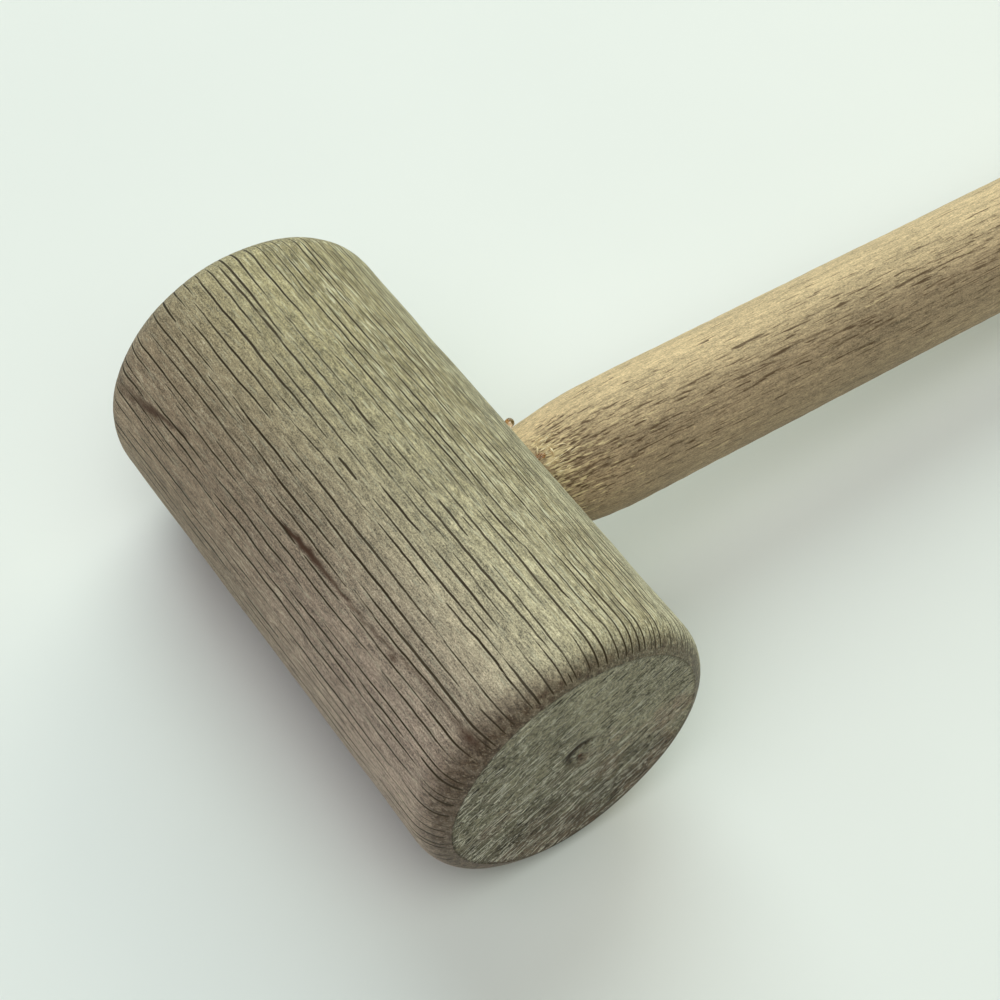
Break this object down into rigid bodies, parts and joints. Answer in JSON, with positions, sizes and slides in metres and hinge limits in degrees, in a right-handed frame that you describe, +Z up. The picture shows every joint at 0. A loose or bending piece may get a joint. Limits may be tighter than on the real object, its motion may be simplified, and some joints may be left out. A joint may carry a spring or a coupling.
{
  "type": "wooden mallet",
  "caption": "Small turned oak mallet: a plain barrel head with rounded edges on a straight round handle, glued into a blind bore.",
  "frame": {"origin": "on the surface that the mallet lies on, at the middle of its box", "axes": "+X from the head towards the grip end, +Y along the head's axis towards the back striking face, +Z up from the surface"},
  "size_m": [0.27, 0.087, 0.045],
  "materials": {
    "head_wood": "matte, unfinished, burnished at the edges",
    "handle_wood": "matte, unfinished",
    "glue": "glossy hardened amber glue"
  },
  "bodies": {
    "root": {"head": "head_wood", "handle": "handle_wood", "glue_line": "glue", "glue_bead": "glue", "glue_smear": "glue"}
  },
  "joints": []
}
